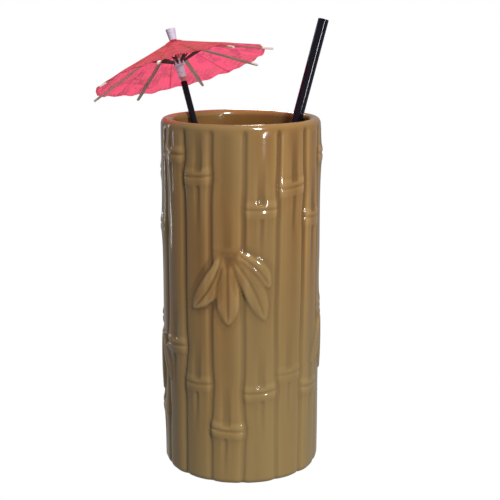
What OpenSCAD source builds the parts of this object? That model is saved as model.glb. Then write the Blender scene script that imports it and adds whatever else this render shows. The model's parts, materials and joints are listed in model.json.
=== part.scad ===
// Tall bamboo tiki mug, dressed with a drinking straw and a paper cocktail
// umbrella whose pick stands in a slim sip straw.
// Millimetres. +Z is up, the mug's axis is the Z axis and its foot is at z = 0.

/* [Mug] */
// Height of the mug to the top of its rim
mug_h = 165; // [150:1:180]
// Radius over the crests of the canes
crest_r = 37; // [36.5:0.1:38]
// Radius of each cane's round front
cane_r = 12; // [11.5:0.1:12.5]
// Radius inside the wall
bore_r = 31.65; // [31:0.05:32]
// Thickness of the floor
floor_t = 6; // [4:0.5:8]
// Round between floor and wall
floor_round = 8; // [4:0.5:10]
// Radius of the rim's rolled lip
lip_r = 2.65; // [2.3:0.05:2.8]
// How far a node's swelling stands out of its cane
node_swell = 1.6; // [0.8:0.1:2]
// Height of a node's swelling, each way
node_reach = 8; // [5:0.5:9]
// How far the leaves reach out from the mug's axis
leaf_r = 38.4; // [37.8:0.1:39]

/* [Drinking straw] */
// Outer radius of the drinking straw
straw_r = 2.5; // [2:0.1:3]
// Its wall
straw_wall = 0.25; // [0.2:0.05:0.5]
// Its length
straw_len = 208.4; // [180:0.1:220]
// Where its axis crosses the plane of the rim
straw_rim = [27.1, 11.8];
// How it leans, in x and y for each unit of height
straw_slope = [0.262, 0.08];
// Height of its lower end at the axis
straw_foot_z = 7.4; // [7:0.1:12]

/* [Sip straw and pick] */
// Lean of the stick from upright
stick_tilt = 19.5; // [15:0.5:22]
// Direction in which it leans, from +X towards +Y
stick_turn = 138.6; // [130:1:145]
// Where its axis crosses the plane of the rim
stick_rim = [-23.2, 18.4];
// Outer radius of the sip straw
sip_r = 1.5; // [1.4:0.05:1.6]
// Bore radius of the sip straw
sip_bore_r = 1.3; // [1.25:0.05:1.35]
// How far its mouth stands above the rim, along the stick
sip_mouth = 15.2; // [14:0.1:16]
// Its whole length
sip_len = 181; // [178:1:182]
// Radius of the wooden pick
pick_r = 1.22; // [1:0.02:1.22]
// Length of the pick
pick_len = 100; // [90:1:110]

/* [Umbrella] */
// Distance from the rim's plane to the point where the ribs aim, along the stick
apex_up = 35; // [34:0.5:38]
// Angle of each open rib from the stick
open_angle = 69.5; // [66:0.5:72]
// Turn of the first rib about the stick
first_rib = 32.3; // [0:0.1:45]
// Length of a rib from the aiming point to its tip
rib_reach = 48.2; // [46:0.1:50]
// Width of a rib at its pivots
rib_w = 1.1; // [0.9:0.1:1.2]
// Width of its blade beyond the strut
blade_w = 1.7; // [1.1:0.1:2]
// Thickness of a rib
rib_t = 0.8; // [0.6:0.1:0.9]
// Distance of the rib and strut pivots from the stick's axis
pivot_r = 2.2; // [2.1:0.1:2.4]
// Distance between the two pivots of a strut, and of a rib
arm = 13.6; // [12:0.1:15]
// Slant radius of the paper
paper_r = 44; // [40:0.5:46]
// Angle of one half gore at the apex
half_gore = 21.05; // [21.03:0.01:21.3]
// Thickness of the paper
paper_t = 0.3; // [0.2:0.05:0.4]

/* [Hidden] */
$fn = 96;
RIBS = 8;
cane_off = crest_r - cane_r;
// Azimuths of the grooves between the canes, from the front towards +X
groove_az = [1.5, 26, 49, 71, 93, 115.5, 138, 160, 182, 204.5, 227, 249, 271.3, 293.6, 316.5, 338.3];
CANES = len(groove_az);
// Heights of the nodes on each cane, in turn round the mug
node_z = [
    [128, 44], [137, 51], [122, 42], [149, 78], [110, 30], [136, 60], [95, 22], [145, 55],
    [118, 35], [151, 66], [105, 46], [140, 70], [116, 28], [151, 63], [142, 47], [108, 26]
];
// Each leaf: azimuth and height of its middle, length, width, turn from hanging
front_leaves = [[-24.8, 93.5, 25, 9, -32], [-9, 90.3, 27, 10.4, 0], [5.4, 92.2, 30, 9, 28],
                [11, 100, 23, 8, 45]];
side_leaves = [[-14, -14, 26, 9, -30], [0, -16, 30, 10, 0], [14, -13, 26, 9, 32]];
sprigs = [[85, 76], [-85, 66], [178, 112]];   // azimuth and root height of the other sprigs

rib_step = 360 / RIBS;
half_step = rib_step / 2;
gap = 0.15;                  // clearance kept at the paper's creases
pivot_up = apex_up - pivot_r / tan(open_angle);
runner_up = pivot_up - 2 * arm * cos(open_angle);
sleeve_bore_r = sip_r + 0.14;
sleeve_r = 1.95;
sleeve_low = 17.2;           // lower end of the sleeve, along the stick
runner_r = 2.65;
runner_h = 3.4;
runner_low = runner_up + 1.5 - runner_h;
hub_r = 3.1;
crown_h = 2;
crown_bore_r = pick_r + 0.08;
slot_w = rib_w + 0.1;
slot_root = pivot_r - rib_t / 2 - 0.06;
eye_r = 0.32;
thread_r = 0.2;
finial_h = 5.55;
finial_low = apex_up + 0.45;
finial_foot_r = 1.8;
finial_top_r = 2.5;
pick_top = finial_low + finial_h - 1.6;
paper_lift = rib_t / 2 + 0.1;
paper_clear = 0.08;          // between the crown and the paper
cap_r = 3.6;
strut_t = 0.7;
pivot_x = pivot_r / sin(open_angle);   // pivot and strut joint, along the rib from the aiming point
joint_x = pivot_x + arm;

// Azimuth of the middle of cane k
function cane_az(k) = (groove_az[k] + (k < CANES - 1 ? groove_az[k + 1] : groove_az[0] + 360)) / 2;

// Height along the stick of the paper's underside, at radius r from the stick
function paper_under(r) = pivot_up + (pivot_r - r) / tan(open_angle) + paper_lift / sin(open_angle);

// Droop of a half gore below the tangent plane of its rib, for ribs at angle a
function droop(a) =
    let (p = cos(half_step), q = cos(a) * sin(half_step),
         r = sin(half_step) * sin(a) / tan(half_gore))
    atan2(q, p) - acos(min(1, r / norm([p, q])));

// ---- helpers ----

// Carries its children onto the stick, z = 0 at the plane of the rim
module on_stick() {
    translate([stick_rim[0], stick_rim[1], mug_h])
        rotate([0, stick_tilt, stick_turn]) children();
}

// A tube along z from low to high
module tube(r_out, r_in, low, high) {
    difference() {
        translate([0, 0, low]) cylinder(r = r_out, h = high - low);
        translate([0, 0, low - 1]) cylinder(r = r_in, h = high - low + 2);
    }
}

// Turns its children to an azimuth counted from the front, -Y, towards +X
module at_azimuth(az) {
    rotate([0, 0, az - 90]) children();
}

// ---- mug ----

// Bundle of canes with rounded feet and shoulders
module cane_bundle() {
    intersection() {
        linear_extrude(height = mug_h) union() {
            circle(r = cane_off);
            for (k = [0:CANES - 1])
                rotate(cane_az(k) - 90) translate([cane_off, 0]) circle(r = cane_r);
        }
        rotate_extrude() polygon([
            [0, 0], [crest_r - 2.4, 0], [crest_r - 1, 0.5], [crest_r - 0.2, 1.6],
            [crest_r + 0.1, 3], [crest_r + 2, 3.2], [crest_r + 2, mug_h - 5],
            [crest_r + 0.1, mug_h - 4.6], [crest_r - 0.6, mug_h - 3], [0, mug_h - 3]
        ]);
    }
}

// Swelling of one node, kept inside its own cane's sector
module cane_node(z) {
    intersection() {
        translate([cane_off, 0, z]) rotate_extrude() polygon([
            [cane_r - 1, -node_reach - 1], [cane_r, -node_reach],
            [cane_r + node_swell, -1.2], [cane_r + node_swell * 0.6, 0],
            [cane_r + node_swell, 1.2], [cane_r, node_reach],
            [cane_r - 1, node_reach + 1], [cane_r - 3, 0]
        ]);
        translate([0, 0, z - node_reach - 2]) linear_extrude(height = 2 * node_reach + 4)
            polygon([[crest_r - 5, 0], [crest_r - 4, -6.6], [crest_r + 3, -7.95],
                     [crest_r + 3, 7.95], [crest_r - 4, 6.6]]);
    }
}

// One pointed leaf lying on the canes
module leaf(az, z, length, width, turn) {
    round_r = (length * length + width * width) / (4 * width);
    intersection() {
        at_azimuth(az) translate([cane_off, 0, z]) rotate([turn, 0, 0]) rotate([0, 90, 0])
            linear_extrude(height = cane_r + 4) intersection() {
                translate([0, round_r - width / 2]) circle(r = round_r);
                translate([0, width / 2 - round_r]) circle(r = round_r);
            }
        tube(leaf_r, crest_r - 3, z - length, z + length);
    }
}

module lip() {
    lip_z = mug_h - lip_r;
    band_h = 1.5;
    rotate_extrude() union() {
        translate([bore_r + lip_r, lip_z]) circle(r = lip_r);
        translate([bore_r, lip_z - band_h]) square([2 * lip_r, band_h]);
    }
}

module cavity() {
    top = mug_h + 2;
    rotate_extrude() union() {
        translate([0, floor_t]) square([bore_r - floor_round, top - floor_t]);
        translate([bore_r - floor_round, floor_t + floor_round]) circle(r = floor_round);
        translate([0, floor_t + floor_round]) square([bore_r, top - floor_t - floor_round]);
    }
}

module mug_body() {
    color("#8c6e46") difference() {
        union() {
            cane_bundle();
            lip();
            for (k = [0:CANES - 1]) for (z = node_z[k])
                at_azimuth(cane_az(k)) cane_node(z);
            for (l = front_leaves) leaf(l[0], l[1], l[2], l[3], l[4]);
            for (s = sprigs) for (l = side_leaves)
                leaf(s[0] + l[0], s[1] + l[1], l[2], l[3], l[4]);
        }
        cavity();
    }
}

// ---- straws and pick ----

module drinking_straw() {
    lean = norm(straw_slope);
    tilt = atan(lean);
    drop = (straw_foot_z - mug_h) / cos(tilt);
    color("#141414") translate([straw_rim[0], straw_rim[1], mug_h])
        rotate([0, tilt, atan2(straw_slope[1], straw_slope[0])])
            tube(straw_r, straw_r - straw_wall, drop, drop + straw_len);
}

module sip_straw() {
    color("#141414") on_stick() tube(sip_r, sip_bore_r, sip_mouth - sip_len, sip_mouth);
}

module pick() {
    point = 8;
    low = pick_top - pick_len;
    color("#d8a48c") on_stick() rotate_extrude() polygon([
        [0, low], [0.25, low], [pick_r, low + point], [pick_r, pick_top], [0, pick_top]
    ]);
}

module finial() {
    color("#e6e2ee") on_stick() difference() {
        translate([0, 0, finial_low])
            cylinder(r1 = finial_foot_r, r2 = finial_top_r, h = finial_h);
        translate([0, 0, finial_low - 1]) cylinder(r = pick_r, h = finial_h + 2);
    }
}

// ---- umbrella ----

// Ring of notches, one for each rib or strut, from radius root outwards and from low upwards
module notches(root, low) {
    for (i = [1:RIBS])
        rotate([0, 0, first_rib + (i - 1) * rib_step])
            translate([root, -slot_w / 2, low]) cube([4, slot_w, 6]);
}

module crown() {
    low = pivot_up - crown_h;
    color("#c9b79a") on_stick() difference() {
        rotate_extrude() polygon([
            [crown_bore_r, low], [hub_r, low],
            [hub_r, paper_under(hub_r) - paper_clear],
            [crown_bore_r, paper_under(crown_bore_r) - paper_clear]
        ]);
        notches(slot_root, low - 1);
        translate([0, 0, pivot_up]) rotate_extrude() translate([pivot_r, 0]) circle(r = thread_r);
    }
}

// Thread ring on which the ribs hang
module crown_thread() {
    color("#eeeae0") on_stick() translate([0, 0, pivot_up])
        rotate_extrude() translate([pivot_r, 0]) circle(r = thread_r);
}

// Round middle of the paper, on top of the crown
module canopy_centre() {
    inner = crown_bore_r + 0.1;
    outer = cap_r - gap;
    rise = paper_t / sin(open_angle);
    color("#d8506a") on_stick() rotate_extrude() polygon([
        [inner, paper_under(inner)], [outer, paper_under(outer)],
        [outer, paper_under(outer) + rise], [inner, paper_under(inner) + rise]
    ]);
}

module runner() {
    color("#e6e2ee") on_stick() difference() {
        tube(runner_r, sleeve_bore_r, runner_low, runner_low + runner_h);
        notches(sleeve_bore_r - 0.5, runner_up - 1.2);
    }
}

// Rolled paper sleeve under the runner
module sleeve() {
    color("#e6e2ee") on_stick() tube(sleeve_r, sleeve_bore_r, sleeve_low, runner_low);
}

// Frame of rib i: origin at the aiming point, x along the rib, z away from the stick's foot
module on_rib(i) {
    on_stick() translate([0, 0, apex_up]) rotate([0, 0, first_rib + (i - 1) * rib_step])
        rotate([0, 90 - open_angle, 0]) children();
}

// Rib with narrow pivots, and a wider blade that tapers to its tip
module rib(i) {
    shoulder = joint_x + 2;
    color("#b79f86") on_rib(i) difference() {
        union() {
            translate([pivot_x, -rib_w / 2, 0]) rotate([-90, 0, 0])
                cylinder(r = rib_t / 2, h = rib_w);
            translate([0, 0, -rib_t / 2]) linear_extrude(height = rib_t) polygon([
                [pivot_x, -rib_w / 2], [shoulder, -rib_w / 2], [shoulder + 2, -blade_w / 2],
                [rib_reach - 8, -blade_w / 2], [rib_reach, -rib_w / 2],
                [rib_reach, rib_w / 2], [rib_reach - 8, blade_w / 2],
                [shoulder + 2, blade_w / 2], [shoulder, rib_w / 2], [pivot_x, rib_w / 2]
            ]);
        }
        for (x = [pivot_x, joint_x])
            translate([x, -rib_w, 0]) rotate([-90, 0, 0]) cylinder(r = eye_r, h = 2 * rib_w);
    }
}

// Forked strut with the thread that ties it to its rib
module strut(i) {
    prong = 0.4;
    half = rib_w / 2 + 0.1;
    stem = 3.4;
    color("#5d5048") on_rib(i) translate([joint_x, 0, 0])
        rotate([0, 180 - 2 * (90 - open_angle), 0]) union() {
            for (s = [half, -half - prong]) {
                translate([0, s, -strut_t / 2]) cube([arm - stem, prong, strut_t]);
                translate([0, s, 0]) rotate([-90, 0, 0]) cylinder(r = strut_t / 2, h = prong);
            }
            translate([arm - stem - 1, -half - prong, -strut_t / 2])
                cube([1, 2 * (half + prong), strut_t]);
            translate([arm - stem - 0.1, -rib_w / 2, -strut_t / 2])
                cube([stem + 0.1, rib_w, strut_t]);
            translate([arm, -rib_w / 2, 0]) rotate([-90, 0, 0])
                cylinder(r = strut_t / 2, h = rib_w);
            translate([0, -half - prong, 0]) rotate([-90, 0, 0])
                cylinder(r = thread_r, h = 2 * (half + prong));
        }
}

// Half a gore of paper hinged on rib i: side 1 towards the next rib, -1 towards the last
module half_paper(i, side) {
    inner = cap_r;
    steps = 6;
    color("#ff6e8c") on_rib(i) translate([0, 0, paper_lift])
        rotate([-side * droop(open_angle), 0, 0]) linear_extrude(height = paper_t)
            polygon(concat(
                [for (j = [0:steps]) let (a = half_gore * j / steps, s = gap_angle(paper_r, j, steps))
                    [paper_r * cos(a - s), side * paper_r * sin(a - s)]],
                [[inner * cos(half_gore) + gap, side * (inner * sin(half_gore) - gap)],
                 [inner, side * gap]]
            ));
}

// Shift that keeps the first and last points of an edge off the creases, in degrees
function gap_angle(r, j, n) = j == 0 ? -gap / r * 180 / PI : j == n ? gap / r * 180 / PI : 0;

mug_body();
drinking_straw();
sip_straw();
pick();
finial();
crown();
crown_thread();
canopy_centre();
runner();
sleeve();
for (i = [1:RIBS]) {
    rib(i);
    strut(i);
    half_paper(i, 1);
    half_paper(i, -1);
}
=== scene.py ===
"""Tall bamboo tiki mug with a drinking straw and a paper cocktail umbrella, built around its frame.

Lengths are in metres. The mug stands on z = 0 with its leaf sprig towards -Y.
"""

import json
import math

import bmesh
import bpy
import numpy as np
from mathutils import Matrix, Vector

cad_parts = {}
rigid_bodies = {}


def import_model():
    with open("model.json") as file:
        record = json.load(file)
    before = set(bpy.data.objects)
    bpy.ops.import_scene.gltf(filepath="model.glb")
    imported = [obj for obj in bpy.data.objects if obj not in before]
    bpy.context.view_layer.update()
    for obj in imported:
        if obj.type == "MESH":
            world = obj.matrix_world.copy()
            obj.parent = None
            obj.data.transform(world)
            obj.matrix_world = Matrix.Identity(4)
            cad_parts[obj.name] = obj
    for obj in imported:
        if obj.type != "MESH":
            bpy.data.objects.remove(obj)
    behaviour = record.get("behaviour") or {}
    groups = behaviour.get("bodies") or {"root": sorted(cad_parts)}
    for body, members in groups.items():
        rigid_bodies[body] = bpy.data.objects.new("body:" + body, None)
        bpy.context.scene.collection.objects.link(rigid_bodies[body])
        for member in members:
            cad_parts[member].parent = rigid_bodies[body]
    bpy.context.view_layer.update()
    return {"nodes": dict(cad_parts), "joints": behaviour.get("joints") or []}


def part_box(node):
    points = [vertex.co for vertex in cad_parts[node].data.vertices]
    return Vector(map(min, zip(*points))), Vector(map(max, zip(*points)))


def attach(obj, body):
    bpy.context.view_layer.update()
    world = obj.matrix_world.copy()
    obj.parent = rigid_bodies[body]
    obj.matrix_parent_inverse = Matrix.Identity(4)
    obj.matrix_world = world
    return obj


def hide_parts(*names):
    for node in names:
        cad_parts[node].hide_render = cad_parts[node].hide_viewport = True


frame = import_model()

MM = 0.001
JOINTS = {j["name"]: j for j in frame["joints"]}
RIBS = 8
WELD = 1e-7   # vertices closer than this become one

# ---- places, all from the frame ----

mug_low, mug_high = (Vector(v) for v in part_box("mug_body"))
MUG_H = mug_high.z
LEAF_RISE = 1.4 * MM   # how far the leaf sprigs stand out beyond the canes
WALL = 5.35 * MM
CREST_R = (mug_high.x - mug_low.x) / 2 - LEAF_RISE
BORE_R = CREST_R - WALL
LIP_R = 2.65 * MM
FLOOR_T = 6 * MM
FLOOR_ROUND = 8 * MM
FOOT_ROUND = 2.4 * MM

STICK = Vector(JOINTS["canopy_turn"]["axis"]).normalized()
HUB = Vector(JOINTS["canopy_turn"]["pos_m"])
STRAW = Vector(JOINTS["straw_lift"]["axis"]).normalized()


class RibFrame:
    """Place of one rib: its pivot, its direction v, the way across t and the way up n.

    apex is where its line meets the stick, and joint is where its strut is tied."""

    def __init__(self, i):
        self.pivot = Vector(JOINTS[f"rib_fold_{i}"]["pos_m"])
        self.t = Vector(JOINTS[f"rib_fold_{i}"]["axis"]).normalized()
        self.v = Vector(JOINTS[f"paper_left_fold_{i}"]["axis"]).normalized()
        self.n = self.v.cross(self.t).normalized()
        self.joint = Vector(JOINTS[f"strut_fold_{i}"]["pos_m"])
        out = self.pivot - HUB
        self.apex = self.pivot - self.v * (out.length / self.v.dot(out.normalized()))

    def matrix(self, origin):
        """Takes coordinates along the rib, across it and up into the shared frame."""
        m = Matrix((self.v, self.t, self.n)).transposed().to_4x4()
        m.translation = origin
        return m


RIB_FRAMES = {i: RibFrame(i) for i in range(1, RIBS + 1)}
OPEN_DROP = math.asin(RIB_FRAMES[1].v.dot(-STICK))   # how far the open ribs slope down
PAPER_R = 44.0 * MM
HALF_GORE = math.radians(21.05)                      # from a rib to the crease beside it, along the paper
OVERLAP = math.radians(0.2)                          # by which each half passes the crease
PRINT_UNIT = 10 * MM                                 # paper that one unit of the print covers


def extent(node, origin, axis):
    """Lowest and highest point of a node along an axis through origin."""
    mesh = frame["nodes"][node].data
    co = np.empty(len(mesh.vertices) * 3, np.float32)
    mesh.vertices.foreach_get("co", co)
    height = (co.reshape(-1, 3) - np.array(origin)) @ np.array(axis)
    return float(height.min()), float(height.max())


# ---- small mesh tools ----

def clear_selection():
    if bpy.context.mode != "OBJECT":
        bpy.ops.object.mode_set(mode="OBJECT")
    bpy.ops.object.select_all(action="DESELECT")


def select_only(o):
    clear_selection()
    o.select_set(True)
    bpy.context.view_layer.objects.active = o


def add_object(name, data):
    o = bpy.data.objects.new(name, data)
    bpy.context.collection.objects.link(o)
    return o


def made(name):
    """Names the object that an operator has just added and settles its place into its mesh."""
    o = bpy.context.object
    o.name = o.data.name = name
    bpy.ops.object.transform_apply(location=True, rotation=True, scale=True)
    return o


def apply_modifiers(o):
    select_only(o)
    for m in list(o.modifiers):
        bpy.ops.object.modifier_apply(modifier=m.name)


def coordinates(o):
    co = np.empty(len(o.data.vertices) * 3)
    o.data.vertices.foreach_get("co", co)
    return co.reshape(-1, 3)


def set_coordinates(o, co):
    o.data.vertices.foreach_set("co", np.asarray(co, float).ravel())
    o.data.update()


def face_outwards(o):
    bm = bmesh.new()
    bm.from_mesh(o.data)
    bmesh.ops.remove_doubles(bm, verts=bm.verts, dist=WELD)
    bmesh.ops.recalc_face_normals(bm, faces=bm.faces)
    bm.to_mesh(o.data)
    bm.free()


def smooth(o, angle=40):
    """Shades smoothly, and keeps edges sharper than angle in degrees."""
    select_only(o)
    bpy.ops.object.shade_smooth_by_angle(angle=math.radians(angle))


def place(o, matrix):
    o.data.transform(matrix)
    o.data.update()


def smooth_all(o):
    o.data.polygons.foreach_set("use_smooth", np.ones(len(o.data.polygons), bool))


def give_wall(o, thickness):
    """Turns a sheet without thickness into a closed wall around it."""
    wall = o.modifiers.new("Paper", "SOLIDIFY")
    wall.thickness = thickness
    wall.offset = 0
    apply_modifiers(o)


def along(axis, origin):
    """Matrix that stands +Z along axis at origin."""
    m = axis.to_track_quat("Z", "Y").to_matrix().to_4x4()
    m.translation = origin
    return m


def lathe(name, profile, steps, matrix=None):
    """Spins a profile of (radius, height) points about Z into a closed skin."""
    mesh = bpy.data.meshes.new(name)
    mesh.from_pydata([(r, 0, z) for r, z in profile], [(k, k + 1) for k in range(len(profile) - 1)], [])
    o = add_object(name, mesh)
    screw = o.modifiers.new("Spin", "SCREW")
    screw.steps = screw.render_steps = steps
    screw.use_merge_vertices = True
    screw.merge_threshold = 1e-6
    screw.use_smooth_shade = True
    apply_modifiers(o)
    face_outwards(o)
    if matrix is not None:
        place(o, matrix)
    return o


def eased_copy(node, name, edge):
    """Copy of a CAD node with its sharp edges eased."""
    o = add_object(name, frame["nodes"][node].data.copy())
    o.data.name = name
    bm = bmesh.new()
    bm.from_mesh(o.data)
    bmesh.ops.remove_doubles(bm, verts=bm.verts, dist=WELD)
    bmesh.ops.dissolve_limit(bm, angle_limit=math.radians(2), verts=bm.verts, edges=bm.edges)
    bm.to_mesh(o.data)
    bm.free()
    bevel = o.modifiers.new("Ease", "BEVEL")
    bevel.width = edge
    bevel.segments = 2
    bevel.limit_method = "ANGLE"
    bevel.angle_limit = math.radians(35)
    apply_modifiers(o)
    smooth(o)
    return o


# ---- material tools ----

class Shade:
    """A node material being written: nodes by type, links by socket."""

    def __init__(self, name, **sockets):
        self.material = bpy.data.materials.new(name)
        self.material.use_nodes = True
        self.tree = self.material.node_tree
        self.shader = self.tree.nodes["Principled BSDF"]
        self.output = self.tree.nodes["Material Output"]
        for key, value in sockets.items():
            self.shader.inputs[key.replace("_", " ")].default_value = value

    def add(self, kind, **settings):
        node = self.tree.nodes.new("ShaderNode" + kind)
        for key, value in settings.items():
            setattr(node, key, value)
        return node

    def link(self, source, target):
        self.tree.links.new(source, target)

    def objects(self, scale=(1, 1, 1)):
        """Object coordinates times scale: a small factor draws a pattern out along that axis."""
        coords = self.add("TexCoord")
        mapping = self.add("Mapping")
        mapping.inputs["Scale"].default_value = scale
        self.link(coords.outputs["Object"], mapping.inputs["Vector"])
        return mapping.outputs["Vector"]

    def noise(self, vector, scale, detail, rough):
        n = self.add("TexNoise")
        n.inputs["Scale"].default_value = scale
        n.inputs["Detail"].default_value = detail
        n.inputs["Roughness"].default_value = rough
        self.link(vector, n.inputs["Vector"])
        return n.outputs["Fac"]

    def math(self, operation, a, b=None, clamp=False):
        n = self.add("Math", operation=operation, use_clamp=clamp)
        for k, value in enumerate((a, b)):
            if value is None:
                continue
            if isinstance(value, (int, float)):
                n.inputs[k].default_value = value
            else:
                self.link(value, n.inputs[k])
        return n.outputs[0]

    def ramp(self, fac, *stops):
        n = self.add("ValToRGB")
        elements = n.color_ramp.elements
        while len(elements) < len(stops):
            elements.new(0.5)
        for element, (position, colour) in zip(elements, stops):
            element.position = position
            element.color = (*colour, 1)
        self.link(fac, n.inputs["Fac"])
        return n.outputs["Color"]

    def mix(self, fac, a, b):
        n = self.add("Mix", data_type="RGBA")
        for socket, value in ((n.inputs[0], fac), (n.inputs[6], a), (n.inputs[7], b)):
            if isinstance(value, (int, float)):
                socket.default_value = value
            elif isinstance(value, tuple):
                socket.default_value = (*value, 1)
            else:
                self.link(value, socket)
        return n.outputs[2]

    def colour(self, socket):
        self.link(socket, self.shader.inputs["Base Color"])

    def roughness(self, fac, low, high):
        n = self.add("MapRange")
        n.inputs["To Min"].default_value = low
        n.inputs["To Max"].default_value = high
        self.link(fac, n.inputs["Value"])
        self.link(n.outputs["Result"], self.shader.inputs["Roughness"])

    def bump(self, height, distance, strength):
        n = self.add("Bump")
        n.inputs["Distance"].default_value = distance
        n.inputs["Strength"].default_value = strength
        self.link(height, n.inputs["Height"])
        self.link(n.outputs["Normal"], self.shader.inputs["Normal"])


def glaze_material():
    """Glossy olive-brown glaze, thin and light on raised parts, dark where it pools, and darkened inside
    the mug by painted shade.
    """
    s = Shade("olive_brown_glaze", IOR=1.48, Coat_Weight=0.25, Coat_Roughness=0.04, Coat_IOR=1.45)
    glaze_pool_and_shade = s.add("Attribute", attribute_name="glaze_pool_and_shade").outputs["Fac"]
    body = s.objects()
    streaks = s.noise(s.objects((1, 1, 0.1)), 150, 5, 0.6)
    clouds = s.noise(body, 24, 3, 0.5)
    specks = s.noise(body, 900, 2, 0.5)
    level = s.math("ADD", glaze_pool_and_shade, s.math("MULTIPLY", s.math("SUBTRACT", streaks, 0.5), 0.16))
    level = s.math("ADD", level, s.math("MULTIPLY", s.math("SUBTRACT", clouds, 0.5), 0.16), clamp=True)
    tone = s.ramp(level, (0.0, (0.088, 0.041, 0.011)), (0.3, (0.155, 0.079, 0.022)),
                  (0.5, (0.225, 0.117, 0.034)), (0.72, (0.285, 0.160, 0.053)), (1.0, (0.38, 0.245, 0.10)))
    cool = s.ramp(s.noise(s.objects((1, 1, 0.35)), 30, 1, 0.4), (0.42, (0, 0, 0)), (0.62, (1, 1, 1)))
    tone = s.mix(s.math("MULTIPLY", cool, 0.5), tone, (0.205, 0.145, 0.058))
    height = s.add("SeparateXYZ")
    s.link(body, height.inputs[0])
    low = s.ramp(s.math("MULTIPLY", height.outputs["Z"], 1 / MUG_H), (0.05, (1, 1, 1)), (0.55, (0, 0, 0)))
    tone = s.mix(s.math("MULTIPLY", low, 0.6), tone, (0.26, 0.185, 0.072))
    fleck = s.ramp(specks, (0.0, (0, 0, 0)), (0.66, (0, 0, 0)), (0.78, (1, 1, 1)))
    s.colour(s.mix(s.math("MULTIPLY", fleck, 0.2), tone, (0.09, 0.045, 0.014)))
    s.roughness(clouds, 0.08, 0.17)
    ripple = s.math("ADD", s.math("MULTIPLY", s.noise(body, 110, 2, 0.4), 0.7),
                    s.math("MULTIPLY", streaks, 0.3))
    s.bump(ripple, 0.2 * MM, 0.45)
    return s.material


def straw_material():
    """Black extruded plastic with faint lines along the tube."""
    s = Shade("black_straw_plastic", IOR=1.45, Specular_IOR_Level=0.35)
    lines = s.noise(s.objects((1, 1, 0.05)), 900, 3, 0.5)
    s.colour(s.ramp(lines, (0.3, (0.003, 0.0025, 0.006)), (0.7, (0.006, 0.005, 0.012))))
    s.roughness(lines, 0.05, 0.09)
    s.bump(lines, 0.01 * MM, 0.06)
    return s.material


def wood_material(name, dark, light, grain_axis):
    """Split wood, its grain running along grain_axis."""
    s = Shade(name, IOR=1.45)
    coords = s.add("TexCoord").outputs["Object"]
    turn = s.add("Mapping", vector_type="TEXTURE")
    turn.inputs["Rotation"].default_value = grain_axis.to_track_quat("Z", "Y").to_euler()
    s.link(coords, turn.inputs["Vector"])
    stretch = s.add("Mapping")
    stretch.inputs["Scale"].default_value = (1, 1, 0.04)
    s.link(turn.outputs["Vector"], stretch.inputs["Vector"])
    grain = s.noise(stretch.outputs["Vector"], 2600, 4, 0.6)
    blotch = s.noise(coords, 350, 2, 0.5)
    tone = s.ramp(grain, (0.32, dark), (0.68, light))
    s.colour(s.mix(s.math("MULTIPLY", blotch, 0.4), tone, dark))
    s.roughness(grain, 0.55, 0.75)
    s.bump(grain, 0.05 * MM, 0.6)
    return s.material


def rolled_paper_material(name, dark, light):
    """Pale printed paper rolled into tubes, with blurred lilac marks."""
    s = Shade(name, IOR=1.4)
    coords = s.objects()
    fibre = s.noise(coords, 1500, 4, 0.6)
    marks = s.noise(coords, 620, 1, 0.4)
    ink = s.ramp(marks, (0.5, (0, 0, 0)), (0.6, (1, 1, 1)))
    base = s.ramp(fibre, (0.3, dark), (0.7, light))
    s.colour(s.mix(s.math("MULTIPLY", ink, 0.35), base, (0.34, 0.27, 0.52)))
    s.roughness(fibre, 0.7, 0.85)
    s.bump(fibre, 0.04 * MM, 0.6)
    return s.material


def thread_material():
    """White cotton thread with a fine twist."""
    s = Shade("cotton_thread", Sheen_Weight=0.3, Sheen_Roughness=0.5)
    twist = s.add("TexWave", wave_type="BANDS", bands_direction="DIAGONAL")
    twist.inputs["Scale"].default_value = 2200
    twist.inputs["Distortion"].default_value = 0.6
    s.link(s.objects(), twist.inputs["Vector"])
    s.colour(s.ramp(twist.outputs["Fac"], (0.2, (0.62, 0.58, 0.52)), (0.7, (0.86, 0.84, 0.80))))
    s.roughness(twist.outputs["Fac"], 0.7, 0.9)
    s.bump(twist.outputs["Fac"], 0.04 * MM, 0.5)
    return s.material


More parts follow.
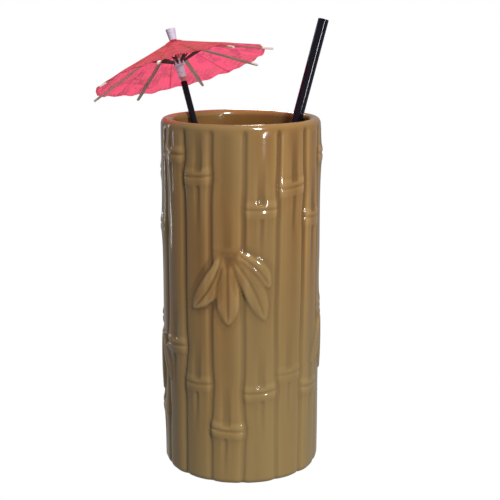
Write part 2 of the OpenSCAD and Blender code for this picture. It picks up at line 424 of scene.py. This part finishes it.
def paper_material():
    """Thin pink paper printed with loose flowers, lit through from behind."""
    s = Shade("pink_umbrella_paper", IOR=1.35, Specular_IOR_Level=0.2)
    flat = s.add("UVMap", uv_map="print").outputs["UV"]
    fibre = s.noise(flat, 60, 5, 0.65)
    tint = s.noise(flat, 1.1, 2, 0.5)
    flowers = 0.95   # along one unit of the print
    cells = s.add("TexVoronoi", voronoi_dimensions="2D", feature="F1")
    cells.inputs["Scale"].default_value = flowers
    cells.inputs["Randomness"].default_value = 0.85
    s.link(flat, cells.inputs["Vector"])
    away = s.add("VectorMath", operation="SUBTRACT")
    s.link(flat, away.inputs[0])
    s.link(cells.outputs["Position"], away.inputs[1])
    parts = s.add("SeparateXYZ")
    s.link(away.outputs[0], parts.inputs[0])
    angle = s.math("ARCTAN2", parts.outputs["Y"], parts.outputs["X"])
    reach = s.math("MULTIPLY", cells.outputs["Distance"], PRINT_UNIT / MM / flowers)   # mm from its middle
    coil = s.math("SINE", s.math("ADD", s.math("MULTIPLY", reach, 4.6), angle))
    petals = s.math("ADD", s.math("MULTIPLY", s.math("COSINE", s.math("MULTIPLY", angle, 5.0)), 0.3), 2.3)
    flower = s.math("MULTIPLY", s.math("LESS_THAN", reach, petals), s.math("GREATER_THAN", coil, -0.25))
    wild = s.noise(flat, 0.75, 1, 0.4)
    stems = s.math("LESS_THAN", s.math("ABSOLUTE", s.math("SUBTRACT", wild, 0.5)), 0.011)
    where = s.noise(flat, 1.0, 0, 0.4)
    patch = s.ramp(where, (0.52, (0, 0, 0)), (0.56, (1, 1, 1)))
    hatch = s.add("TexWave", wave_type="BANDS", bands_direction="DIAGONAL")
    hatch.inputs["Scale"].default_value = 1.9
    hatch.inputs["Distortion"].default_value = 3.0
    s.link(flat, hatch.inputs["Vector"])
    leaves = s.math("MULTIPLY", patch, s.math("GREATER_THAN", hatch.outputs["Fac"], 0.5))
    ground = s.ramp(fibre, (0.3, (0.93, 0.10, 0.165)), (0.7, (1.0, 0.155, 0.25)))
    ground = s.mix(s.math("MULTIPLY", tint, 0.5), ground, (1.0, 0.13, 0.15))
    printed = s.mix(s.math("MULTIPLY", leaves, 0.7), ground, (0.56, 0.14, 0.02))
    printed = s.mix(s.math("MULTIPLY", stems, 0.6), printed, (0.42, 0.02, 0.03))
    printed = s.mix(s.math("MULTIPLY", flower, 0.8), printed, (0.62, 0.012, 0.06))
    s.colour(s.mix(0.4, printed, (0.40, 0.07, 0.04)))
    s.roughness(fibre, 0.65, 0.85)
    s.bump(fibre, 0.1 * MM, 0.45)
    glow = s.add("BsdfTranslucent")
    s.link(s.mix(0.45, printed, (1.0, 0.62, 0.85)), glow.inputs["Color"])
    blend = s.add("MixShader")
    blend.inputs[0].default_value = 0.7
    s.link(s.shader.outputs[0], blend.inputs[1])
    s.link(glow.outputs[0], blend.inputs[2])
    s.link(blend.outputs[0], s.output.inputs["Surface"])
    return s.material


def pale_backdrop(tree, strength):
    """White to the lens, and as dim as grey card to everything it lights."""
    n = tree.nodes.new("ShaderNodeMapRange")
    n.inputs["To Min"].default_value = strength
    n.inputs["To Max"].default_value = 1.0
    tree.links.new(tree.nodes.new("ShaderNodeLightPath").outputs["Is Camera Ray"], n.inputs["Value"])
    return n.outputs["Result"]


def floor_material():
    s = Shade("pale_floor", Base_Color=(0, 0, 0, 1), Roughness=1.0, Specular_IOR_Level=0.0,
              Emission_Color=(1, 1, 1, 1))
    s.link(pale_backdrop(s.tree, 0.32), s.shader.inputs["Emission Strength"])
    return s.material


GLAZE = glaze_material()
PLASTIC = straw_material()
PAPER = paper_material()
# Two copies of the same rolled paper: the sleeve's and runner's brightened with painted light against the
# shade under the canopy, the finial's darkened with painted shade
ROLLED_LIT = rolled_paper_material("rolled_paper", (0.68, 0.86, 1.0), (0.82, 0.96, 1.0))
ROLLED_SHADED = rolled_paper_material("rolled_paper_shaded", (0.40, 0.36, 0.46), (0.62, 0.57, 0.66))
THREAD = thread_material()
PICK_WOOD = wood_material("stained_pick_wood", (0.50, 0.25, 0.19), (0.74, 0.45, 0.36), STICK)
HUB_WOOD = wood_material("hub_wood", (0.30, 0.22, 0.14), (0.52, 0.42, 0.29), STICK)


def finish_piece(o, body, material, slot, *replaced):
    """Gives a piece its material, its body and the CAD nodes that it stands for; slot is not used."""
    o.data.materials.clear()
    o.data.materials.append(material)
    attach(o, body)
    if replaced:
        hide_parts(*replaced)


# ---- mug ----

# Heights of the nodes on each cane in mm, in turn from the front towards +X
NODE_Z = [(128, 44), (137, 51), (122, 42), (149, 78), (110, 30), (136, 60), (95, 22), (145, 55),
          (118, 35), (151, 66), (105, 46), (140, 70), (116, 28), (151, 63), (142, 47), (109, 26)]
# How strongly those nodes stand out
BOLD = [(0.55, 0.75), (0.5, 0.4), (0.5, 0.8), (1.0, 0.7), (0.8, 1.0), (1.0, 0.7), (0.6, 0.9), (1.0, 0.7),
        (0.7, 1.0), (0.9, 0.6), (1.0, 0.8), (0.6, 0.9), (0.9, 1.0), (0.8, 0.9), (0.65, 0.6), (0.12, 1.0)]
# Each groove between canes: its azimuth at height MID_Z, and how far it leans towards +X at the rim
GROOVES = [(1.7, 0.9), (26.0, 0.4), (49.2, 1.3), (71, 0.5), (93, 0), (115.5, -0.6), (138, 0.4), (160, 0.7),
           (182, -0.5), (204.5, 0.3), (227, 0.6), (249, -0.4), (271.3, 0.2), (293.6, 0), (316.5, 1.0),
           (338.4, 1.2)]
CANES = len(GROOVES)
# Each leaf: azimuth and height of its root, then of its tip, its width, and the bow of its midrib;
# those of the other sprigs are counted from the sprig's own azimuth and height, listed after them
FRONT_LEAVES = [(-3.0, 109.0, 20.5, 93.0, 8.5, -1.6), (-5.5, 107.0, 16.8, 78.0, 10.2, -1.6),
                (-13.0, 108.0, -35.2, 82.4, 10.2, 2.4), (-9.3, 105.5, -9.0, 76.2, 11.2, 0.0)]
SIDE_LEAVES = [(-3.0, 0.0, -24.0, -24.0, 9.0, 2.0), (3.0, 0.0, 24.0, -22.0, 9.0, -2.0),
               (0.0, -1.0, 1.5, -31.0, 10.0, 0.5)]
SPRIGS = [(85, 76), (-85, 66), (178, 112)]
LEAVES = FRONT_LEAVES + [(az + az0, z + z0, az + az1, z + z1, width, bow)
                         for az, z in SPRIGS for az0, z0, az1, z1, width, bow in SIDE_LEAVES]
DEG_MM = math.radians(1) * CREST_R / MM   # mm round the canes' crests in one degree
MID_Z = 82                                # the height at which the grooves' azimuths are given, in mm
MUG_STEPS, MUG_ROWS = 360, 230            # the outside's mesh, around and up


def bell(x, width):
    return np.exp(-(x / width) ** 2)


def ease(low, high, x):
    """0 below low, 1 above high, and a soft step between."""
    t = np.clip((x - low) / (high - low), 0, 1)
    return t * t * (3 - 2 * t)


def groove_line(n, z):
    """Azimuth of groove n at height z, in degrees; groove CANES is the first one again.

    It wanders a little, and gives way to the nodes of the canes on both sides."""
    k = n % CANES
    at, lean = GROOVES[k]
    wander = 0.45 * np.sin(z / (21 + 3 * (k % 4)) + 1.7 * k) + 0.22 * np.sin(z / 9.0 + 2.3 * k)
    for cane, push in ((k, -1.1), ((k - 1) % CANES, 1.1)):
        for height, bold in zip(NODE_Z[cane], BOLD[cane]):
            wander = wander + push * bold * bell(z - height, 4.5)
    return at + 360 * (n // CANES) + lean * (z - MID_Z) / MID_Z + wander


def cane_place(az, z):
    """Number of the cane under each point, place across it from 0 to 1, and its width in degrees."""
    cane = np.zeros(az.shape, int)
    u = np.full(az.shape, 0.5)
    width = np.full(az.shape, 360 / CANES)
    for n in range(CANES):
        left = groove_line(n, z)
        span = groove_line(n + 1, z) - left
        turn = (az - left) % 360
        inside = turn < span
        cane = np.where(inside, n, cane)
        u = np.where(inside, turn / span, u)
        width = np.where(inside, span, width)
    return cane, u, width


def from_groove(u, width):
    """How near a groove, from 0 in the middle of a cane to 1, and the mm left to it."""
    side = np.abs(2 * u - 1)
    return side, (1 - side) * 0.5 * width * DEG_MM


def relief(az, z):
    """Radius in mm of the mug's outside at azimuth az in degrees and height z in mm."""
    k, u, width = cane_place(az, z)
    side, edge = from_groove(u, width)
    x = (u - 0.5) * width * DEG_MM
    crown = 1 - side ** 2
    phase = k * 1.9   # makes each cane a little different
    # a broad flat front that falls away steeply into a groove with a fine line at its bottom
    r = CREST_R / MM - 0.25 * side ** 2 - 0.85 * side ** 6 - 0.12 * bell(edge, 0.6)
    # canes stand out unequally, and their fronts are uneven
    r = r + crown * 0.3 * np.sin(phase * 2.1) + 0.08 * crown * np.cos(9 * u + phase + z / 60)
    r = r + 0.05 * crown * np.sin(z / 7.0 + phase)
    nodes, boldness = np.array(NODE_Z), np.array(BOLD)
    flank = ease(0.0, 1.3, edge)
    for column in range(nodes.shape[1]):
        # a swollen band round the cane, with a line scored in it
        line = nodes[k, column] + 0.6 * np.sin(phase + column) * (2 * u - 1) + 0.5 * side ** 2
        dz = z - line
        bold = boldness[k, column]
        band = 1 - ease(2.0, 4.9, np.abs(dz + 0.3))
        swell = bold * (0.42 * band + 0.42 * bell(dz, 7)) - 0.62 * np.minimum(bold, 0.8) * bell(dz, 0.5)
        r = r + (0.45 + 0.55 * flank) * swell
        # below it a sunk line between two low ridges that runs out downwards, above it a hollow
        middle = x - 0.9 * np.sin(phase + 2 * column)
        below = np.clip((-dz - 4.2) / 24.0, 0, 1)
        bud = ease(3.6, 4.8, -dz) * (1 - below) ** 1.6 * (
            0.62 * bell(middle, 0.6 + 0.5 * below) - 0.16 * bell(np.abs(middle) - 2.0, 0.9))
        above = np.clip((dz - 2.6) / 20.0, 0, 1)
        trough = 1 - ease(0.9, 2.5, np.abs(middle + 0.4 * np.cos(phase)))
        hollow = ease(1.5, 3.0, dz) * (1 - above) ** 1.1 * 0.6 * trough
        r = r - np.minimum(bold * 1.6, 1) * (bud + hollow)
    for leaf in LEAVES:
        r = lay_leaf(r, az, z, *leaf)
    return r


def lay_leaf(r, az, z, az0, z0, az1, z1, width, bow):
    """Raises radius r to a domed leaf with a sunk midrib, its root pressed into the canes."""
    across = (az - az0 + 180) % 360 - 180   # degrees from the root
    run = np.array([(az1 - az0) * DEG_MM, z1 - z0])
    length = float(np.hypot(*run))
    way = run / length
    dx, dz = across * DEG_MM, z - z0
    s = (dx * way[0] + dz * way[1]) / length   # 0 at the root, 1 at the tip
    t = -dx * way[1] + dz * way[0]             # mm from the midrib
    t = t + bow * 4 * s * (1 - s) * np.sign(way[0] if abs(way[0]) > 0.05 else 1)
    inside = np.clip(s, 0, 1)
    half = width / 2 * np.sin(np.pi * (0.1 + 0.9 * inside ** 1.45)) ** 0.6
    near = (s > -0.02) & (s < 1.02) & (np.abs(across) < 60)
    rim = np.where(near, half - np.abs(t), -9)
    cover = ease(-0.3, 0.9, rim) * ease(-0.02, 0.16, s)
    dome = 0.5 * (1 - np.clip(np.abs(t) / np.maximum(half, 0.3), 0, 1) ** 2.5)
    vein = 0.5 * bell(t, 0.45) * ease(0, 0.12, s) * (1 - ease(0.85, 1.0, s))
    top = CREST_R / MM - 0.15 + 0.65 * np.sin(np.pi * (0.15 + 0.75 * inside)) + dome - vein
    return r * (1 - cover) + np.maximum(top, r - 0.35) * cover


def mug_profile():
    """Outline of the mug from the middle of its underside round to the middle of its floor, in mm."""
    crest, bore, lip, high = CREST_R / MM, BORE_R / MM, LIP_R / MM, MUG_H / MM
    foot, floor, fillet = FOOT_ROUND / MM, FLOOR_T / MM, FLOOR_ROUND / MM
    points = [(0, 1.2), (14, 1.2), (28, 1.2), (29.2, 1.0), (30, 0.35), (30.8, 0.02), (31.6, 0),
              (crest - foot, 0)]
    for k in range(1, 7):
        a = k / 6 * math.pi / 2
        points.append((crest - foot + foot * math.sin(a), foot * (1 - math.cos(a))))
    lip_z = high - lip
    for k in range(1, MUG_ROWS + 1):
        points.append((crest, foot + (lip_z - foot) * k / MUG_ROWS))
    for k in range(1, 15):
        a = k / 14 * math.pi
        points.append((bore + lip + (crest - bore - lip) * math.cos(a), lip_z + lip * math.sin(a)))
    for k in range(1, 9):
        points.append((bore, lip_z + (floor + fillet - lip_z) * k / 8))
    for k in range(1, 8):
        a = k / 7 * math.pi / 2
        points.append((bore - fillet + fillet * math.cos(a), floor + fillet * (1 - math.sin(a))))
    return points + [(16, floor), (8, floor), (0, floor)]


def build_mug():
    profile = [(r * MM, z * MM) for r, z in mug_profile()]
    mug = lathe("mug_glazed_body", profile, MUG_STEPS)
    co = coordinates(mug)
    radius = np.hypot(co[:, 0], co[:, 1]) / MM
    az = np.degrees(np.arctan2(co[:, 0], -co[:, 1]))
    z = co[:, 2] / MM
    crest, foot, high = CREST_R / MM, FOOT_ROUND / MM, MUG_H / MM
    outer = (radius > crest - foot + 0.01) & (z < high - 1.2)
    # the relief runs out into a plain rim above and round the foot below
    fade = ease(crest - foot, crest - foot + 0.6, radius) * (1 - ease(high - 5.2, high - 1.4, z))
    shape = relief(az[outer], z[outer])
    rim_in = 0.35   # the plain rim lies this far inside the crests
    raised = np.zeros(len(co))
    raised[outer] = (shape - crest + rim_in) * fade[outer]
    raised -= rim_in * ease(crest - foot, crest - 0.2, radius)
    scale = np.where(radius > 1, (radius + raised) / np.maximum(radius, 1), 1)
    co[:, :2] *= scale[:, None]
    set_coordinates(mug, co)
    glaze_pool_and_shade = np.full(len(co), 0.5)
    glaze_pool_and_shade[outer] = pooling(az[outer], z[outer], shape) * fade[outer] + 0.5 * (1 - fade[outer])
    # painted shade darkens the inside below the rim; the glaze is thickest on the floor, and thin on the
    # rim
    bore, floor = BORE_R / MM, FLOOR_T / MM
    glaze_pool_and_shade -= np.where(radius < bore + 0.4, 0.25 * (1 - ease(high - 4, high - 1, z)), 0)
    glaze_pool_and_shade -= np.where(radius < bore + 0.1, 0.2 * bell(z - floor, 4), 0)
    glaze_pool_and_shade += 0.16 * bell(z - high, 1.6)
    attribute = mug.data.attributes.new("glaze_pool_and_shade", "FLOAT", "POINT")
    attribute.data.foreach_set("value", np.clip(glaze_pool_and_shade, 0.24, 0.85))
    smooth_all(mug)
    finish_piece(mug, "mug", GLAZE, "glaze", "mug_body")


def pooling(az, z, shape):
    """0.5 on even ground, lower in hollows where glaze gathers, higher on edges."""
    around = np.zeros_like(shape)   # the mean radius of the ground near each point
    for reach, weight in ((1.3, 0.4), (3.8, 0.6)):
        for a in np.arange(6) * math.pi / 3:
            d_az = reach * math.cos(a) / DEG_MM
            around += weight / 6 * relief(az + d_az, z + reach * math.sin(a))
    side, edge = from_groove(*cane_place(az, z)[1:])
    return 0.5 + (shape - around) + 0.13 * bell(edge - 1.9, 0.9) - 0.07 * (1 - side ** 2)


# ---- straws, pick and rolled paper ----

def build_tube(name, node, body, axis, through, radius, wall):
    """A plastic tube, both ends cut square."""
    low, high = extent(node, through, axis)
    cut = 0.25 * wall
    rows = 24
    inner = radius - wall
    profile = [(inner, low + cut), (inner + cut, low), (radius - cut, low), (radius, low + cut)]
    profile += [(radius, low + (high - low) * k / rows) for k in range(1, rows)]
    profile += [(radius, high - cut), (radius - cut, high), (inner + cut, high), (inner, high - cut)]
    profile += [(inner, high - (high - low) * k / rows) for k in range(1, rows)]
    o = lathe(name, profile + [profile[0]], 72, along(axis, through))
    smooth(o, 30)
    finish_piece(o, body, PLASTIC, "straw_plastic", node)


def on_line(node):
    """A point on the axis of a round node: the middle of its vertices."""
    return Vector(coordinates(frame["nodes"][node]).mean(axis=0))


def build_straws():
    build_tube("drinking_straw_tube", "drinking_straw", "straw", STRAW, on_line("drinking_straw"),
               radius=2.5 * MM, wall=0.25 * MM)
    build_tube("sip_straw_tube", "sip_straw", "sip", STICK, HUB, radius=1.5 * MM, wall=0.18 * MM)


def build_pick():
    """The stick, sharpened at its lower end."""
    low, high = extent("pick", HUB, STICK)
    r, cut = 1.2 * MM, 0.2 * MM
    profile = [(0, low), (0.22 * MM, low + 0.1 * MM), (0.55 * MM, low + 2.5 * MM),
               (1.05 * MM, low + 6.5 * MM), (r, low + 9 * MM), (r, (low + high) / 2),
               (r, high - cut), (r - cut, high), (0, high)]
    o = lathe("umbrella_pick", profile, 32, along(STICK, HUB))
    smooth(o, 50)
    finish_piece(o, "stick", PICK_WOOD, "pick_wood", "pick")


def build_roll(name, node, body, material, inner, turns, r_low, r_high):
    """A strip of paper rolled round the stick from radius inner, its free edge showing.

    r_low and r_high are its radius at its lower and its upper end."""
    low, high = extent(node, HUB, STICK)
    sheet = 0.11 * MM
    around, rows = int(40 * turns), 6
    verts, faces = [], []
    for j in range(rows + 1):
        up = j / rows
        outer = r_low + (r_high - r_low) * up
        for k in range(around + 1):
            f = k / around
            a = f * turns * 2 * math.pi
            r = inner + sheet * 0.6 + (outer - inner - sheet * 1.2) * f
            skew = 0.18 * MM * math.sin(a * 0.5 + 1) * (1 if j == rows else 0)
            verts.append((r * math.cos(a), r * math.sin(a), low + (high - low) * up - abs(skew)))
    for j in range(rows):
        for k in range(around):
            a = j * (around + 1) + k
            faces.append((a, a + 1, a + around + 2, a + around + 1))
    mesh = bpy.data.meshes.new(name)
    mesh.from_pydata(verts, [], faces)
    o = add_object(name, mesh)
    give_wall(o, sheet)
    place(o, along(STICK, HUB))
    smooth(o, 45)
    finish_piece(o, body, material, "rolled_paper", node)


# ---- umbrella ----

def lay_print(o, plan):
    """Gives each vertex its place on the print, from its place on the paper seen from above."""
    for layer in list(o.data.uv_layers):
        o.data.uv_layers.remove(layer)
    layer = o.data.uv_layers.new(name="print")
    loops = np.empty(len(o.data.loops), int)
    o.data.loops.foreach_get("vertex_index", loops)
    layer.data.foreach_set("uv", (plan / PRINT_UNIT)[loops].ravel())


def wave_edge(theta):
    """The paper's cut edge wanders a little as it goes round."""
    return 1 + 0.008 * np.sin(3 * theta + 1) + 0.007 * np.sin(7 * theta + 2) + 0.003 * np.sin(18 * theta)


def build_half_gore(i, side):
    """Half a gore of paper: from its rib to the crease, sagging a little between them."""
    word = "left" if side > 0 else "right"
    node = f"paper_{word}_{i}"
    rib = RIB_FRAMES[i]
    local = coordinates(frame["nodes"][node])
    into = np.array(rib.matrix(rib.apex).inverted())
    local = local @ into[:3, :3].T + into[:3, 3]
    far = local[np.argmax(np.abs(local[:, 1]))]
    lift = 0.5 * MM                 # the paper lies on the rib's back
    dip = lift + 0.3 * MM           # its crease lies a little under the CAD sheet's corner
    beside = side * 0.06 * MM       # it starts this far beside the rib's middle line
    start = 3.7 * MM
    columns, rows = 10, 22
    clear_selection()
    bpy.ops.mesh.primitive_grid_add(x_subdivisions=rows, y_subdivisions=columns, size=1)
    o = made(f"umbrella_paper_{word}_{i}")
    flat = coordinates(o)
    f = flat[:, 0] + 0.5
    g = flat[:, 1] + 0.5
    theta = side * g * (HALF_GORE + OVERLAP)
    around = 2 * math.pi / RIBS * (i - 1) + theta
    rho = start + (PAPER_R * wave_edge(around) - start) * f
    droop = math.atan2(dip - far[2], abs(far[1]))
    x = rho * np.cos(theta)
    y = rho * np.sin(theta) + beside
    between = np.sin(np.pi * g)
    sag = 0.35 * MM * between * f
    crumple = 0.28 * MM * between * np.sin(7 * f + 2.1 * i + side) * f
    crumple += 0.22 * MM * np.sin(2 * np.pi * g) * np.sin(8.6 * f + i * 1.3) * f
    hem = 0.5 * MM * between * np.sin(24 * theta + i) * f ** 6
    height = sag + crumple + hem
    c, s = math.cos(droop), math.sin(droop)
    across = np.abs(y)
    local = np.column_stack([x, side * (across * c + height * s), -across * s + height * c + lift])
    lay_print(o, np.column_stack([rho * np.cos(around), rho * np.sin(around)]))
    out = np.array(rib.matrix(rib.apex))
    set_coordinates(o, local @ out[:3, :3].T + out[:3, 3])
    normal = sum((p.normal for p in o.data.polygons), Vector())
    if normal.dot(STICK) < 0:
        o.data.flip_normals()
    give_wall(o, 0.12 * MM)
    smooth_all(o)
    finish_piece(o, node, PAPER, "canopy_paper", node)


def build_canopy():
    for i in RIB_FRAMES:
        for side in (1, -1):
            build_half_gore(i, side)
    slope = math.tan(OPEN_DROP)
    rise = 2.2 * slope + 0.54 / math.cos(OPEN_DROP)   # height of the paper's cone at the stick, in mm

    def ring(r, above):
        """A point of the round middle, at radius r and height above the paper's cone, in mm."""
        return r * MM, (rise - r * slope + above) * MM

    profile = [ring(1.35, 0.26), ring(2.2, 0.28), ring(3.1, 0.32), ring(3.9, 0.32), ring(3.95, 0.21),
               ring(3.1, 0.18), ring(2.2, 0.08), ring(1.35, 0.05)]
    centre = lathe("umbrella_paper_centre", profile + [profile[0]], 64)
    co = coordinates(centre)
    angle = np.arctan2(co[:, 1], co[:, 0])
    rad = np.hypot(co[:, 0], co[:, 1]) / MM
    co[:, 2] += 0.05 * MM * np.cos(RIBS * angle) * np.clip((rad - 1.5) / 2.5, 0, 1)
    set_coordinates(centre, co)
    lay_print(centre, co[:, :2])
    place(centre, along(STICK, HUB))
    smooth(centre, 60)
    finish_piece(centre, "head", PAPER, "canopy_paper", "canopy_centre")


def build_rib(i):
    """A split slat: narrow at its pivots, wider beyond the strut, a little uneven."""
    rib = RIB_FRAMES[i]
    o = eased_copy(f"rib_{i}", f"umbrella_rib_{i}", 0.12 * MM)
    to_rib = rib.matrix(rib.apex)
    place(o, to_rib.inverted())
    co = coordinates(o)
    straight, tip = 20, 48   # mm along it: straight up to the first, most uneven at the second
    beyond = np.clip((co[:, 0] / MM - straight) / (tip - straight), 0, 1)
    co[:, 1] += 0.1 * MM * np.sin(5 * beyond + i) * beyond
    set_coordinates(o, co)
    place(o, to_rib)
    grain = wood_material(f"rib_wood_{i}", (0.38, 0.27, 0.225), (0.80, 0.64, 0.55), rib.v)
    finish_piece(o, f"rib_{i}", grain, "rib_wood", f"rib_{i}")


def build_knot(i):
    """The strut's thread, knotted outside both prongs on the line it turns about."""
    rib = RIB_FRAMES[i]
    thread_r = 0.12 * MM
    clear_selection()
    parts = []
    for side in (1, -1):
        for out, radius in ((1.17, 0.2), (1.30, 0.24), (1.43, 0.16)):
            bpy.ops.mesh.primitive_torus_add(
                major_radius=radius * MM, minor_radius=thread_r, major_segments=20, minor_segments=8,
                location=(0, side * out * MM, 0), rotation=(math.pi / 2, 0, 0))
            parts.append(made(f"turn_{i}"))
    for part in parts:
        part.select_set(True)
    bpy.context.view_layer.objects.active = parts[0]
    bpy.ops.object.join()
    o = bpy.context.object
    o.name = o.data.name = f"strut_tie_{i}"
    place(o, rib.matrix(rib.joint))
    smooth(o, 60)
    finish_piece(o, f"strut_{i}", THREAD, "thread")


def build_strut(i):
    strut = eased_copy(f"strut_{i}", f"umbrella_strut_{i}", 0.07 * MM)
    inwards = Vector(coordinates(strut).mean(axis=0)) - RIB_FRAMES[i].joint
    # painted shade: the struts' wood is darkened to stand for the shade they lie in under the canopy
    painted_shade_wood = wood_material(f"strut_shaded_wood_{i}", (0.035, 0.022, 0.015), (0.13, 0.085, 0.055),
                              inwards.normalized())
    finish_piece(strut, f"strut_{i}", painted_shade_wood, "strut_card", f"strut_{i}")


def build_linkage():
    for i in RIB_FRAMES:
        build_rib(i)
        build_knot(i)
        build_strut(i)
    crown = eased_copy("crown", "umbrella_crown", 0.06 * MM)
    finish_piece(crown, "head", HUB_WOOD, "hub_wood", "crown")
    runner = eased_copy("runner", "umbrella_runner", 0.06 * MM)
    finish_piece(runner, "slider", ROLLED_LIT, "rolled_paper", "runner")
    thread = frame["nodes"]["crown_thread"].data
    thread.materials.clear()
    thread.materials.append(THREAD)


# ---- stage ----

def build_stage():
    clear_selection()
    bpy.ops.mesh.primitive_circle_add(vertices=96, radius=2.5, fill_type="NGON")
    floor = made("floor")
    floor.data.materials.append(floor_material())
    world = bpy.data.worlds.new("studio")
    bpy.context.scene.world = world
    world.use_nodes = True
    background = world.node_tree.nodes["Background"]
    background.inputs["Color"].default_value = (1, 1, 1, 1)
    world.node_tree.links.new(pale_backdrop(world.node_tree, 0.3), background.inputs["Strength"])
    bpy.context.scene.view_settings.view_transform = "Standard"
    middle = Vector((0, 0, 0.1))
    area_light("window_softbox", (0.44, -0.84, 0.98), middle, 0.17, 0.26, 16.5)
    area_light("left_strip", (-0.42, 0.28, 0.0), middle, 0.008, 0.75, 0.35)
    area_light("right_strip", (0.53, -0.73, 0.172), Vector((0, 0, 0.17)), 0.05, 0.15, 1.9)
    area_light("overhead", (0.0, -0.5, 1.3), middle, 0.9, 0.9, 0.5)
    area_light("back_softbox", (-0.3, 1.0, 1.1), Vector((0, 0, 0.18)), 0.9, 0.6, 26)


def area_light(name, at, target, width, height, power):
    """A rectangular light at a place, turned to its target; sizes in metres, power in watts."""
    bpy.ops.object.light_add(type="AREA", location=at)
    o = bpy.context.object
    o.name = name
    o.data.shape = "RECTANGLE"
    o.data.size = width
    o.data.size_y = height
    o.data.energy = power
    o.rotation_euler = (target - Vector(at)).to_track_quat("-Z", "Y").to_euler()


def build_camera():
    """Eye level a little above the rim, looking down on the mug's front."""
    stand_off, rise = 493.9 * MM, 51.5 * MM
    pitch, yaw = 0.2275, 0.0086   # radians
    camera = bpy.data.cameras.new("camera")
    camera.lens = 77.4
    camera.sensor_width = 36
    o = add_object("camera", camera)
    o.location = (0, -stand_off, MUG_H + rise)
    o.rotation_euler = (math.pi / 2 - pitch, 0, -yaw)
    bpy.context.scene.camera = o


build_camera()
build_stage()
build_mug()
build_straws()
build_pick()
build_roll("umbrella_sleeve", "sleeve", "slider", ROLLED_LIT,
           inner=1.64 * MM, turns=2.0, r_low=1.95 * MM, r_high=1.95 * MM)
build_roll("umbrella_finial", "finial", "stick", ROLLED_SHADED,
           inner=1.22 * MM, turns=4.6, r_low=1.8 * MM, r_high=2.5 * MM)
build_linkage()
build_canopy()
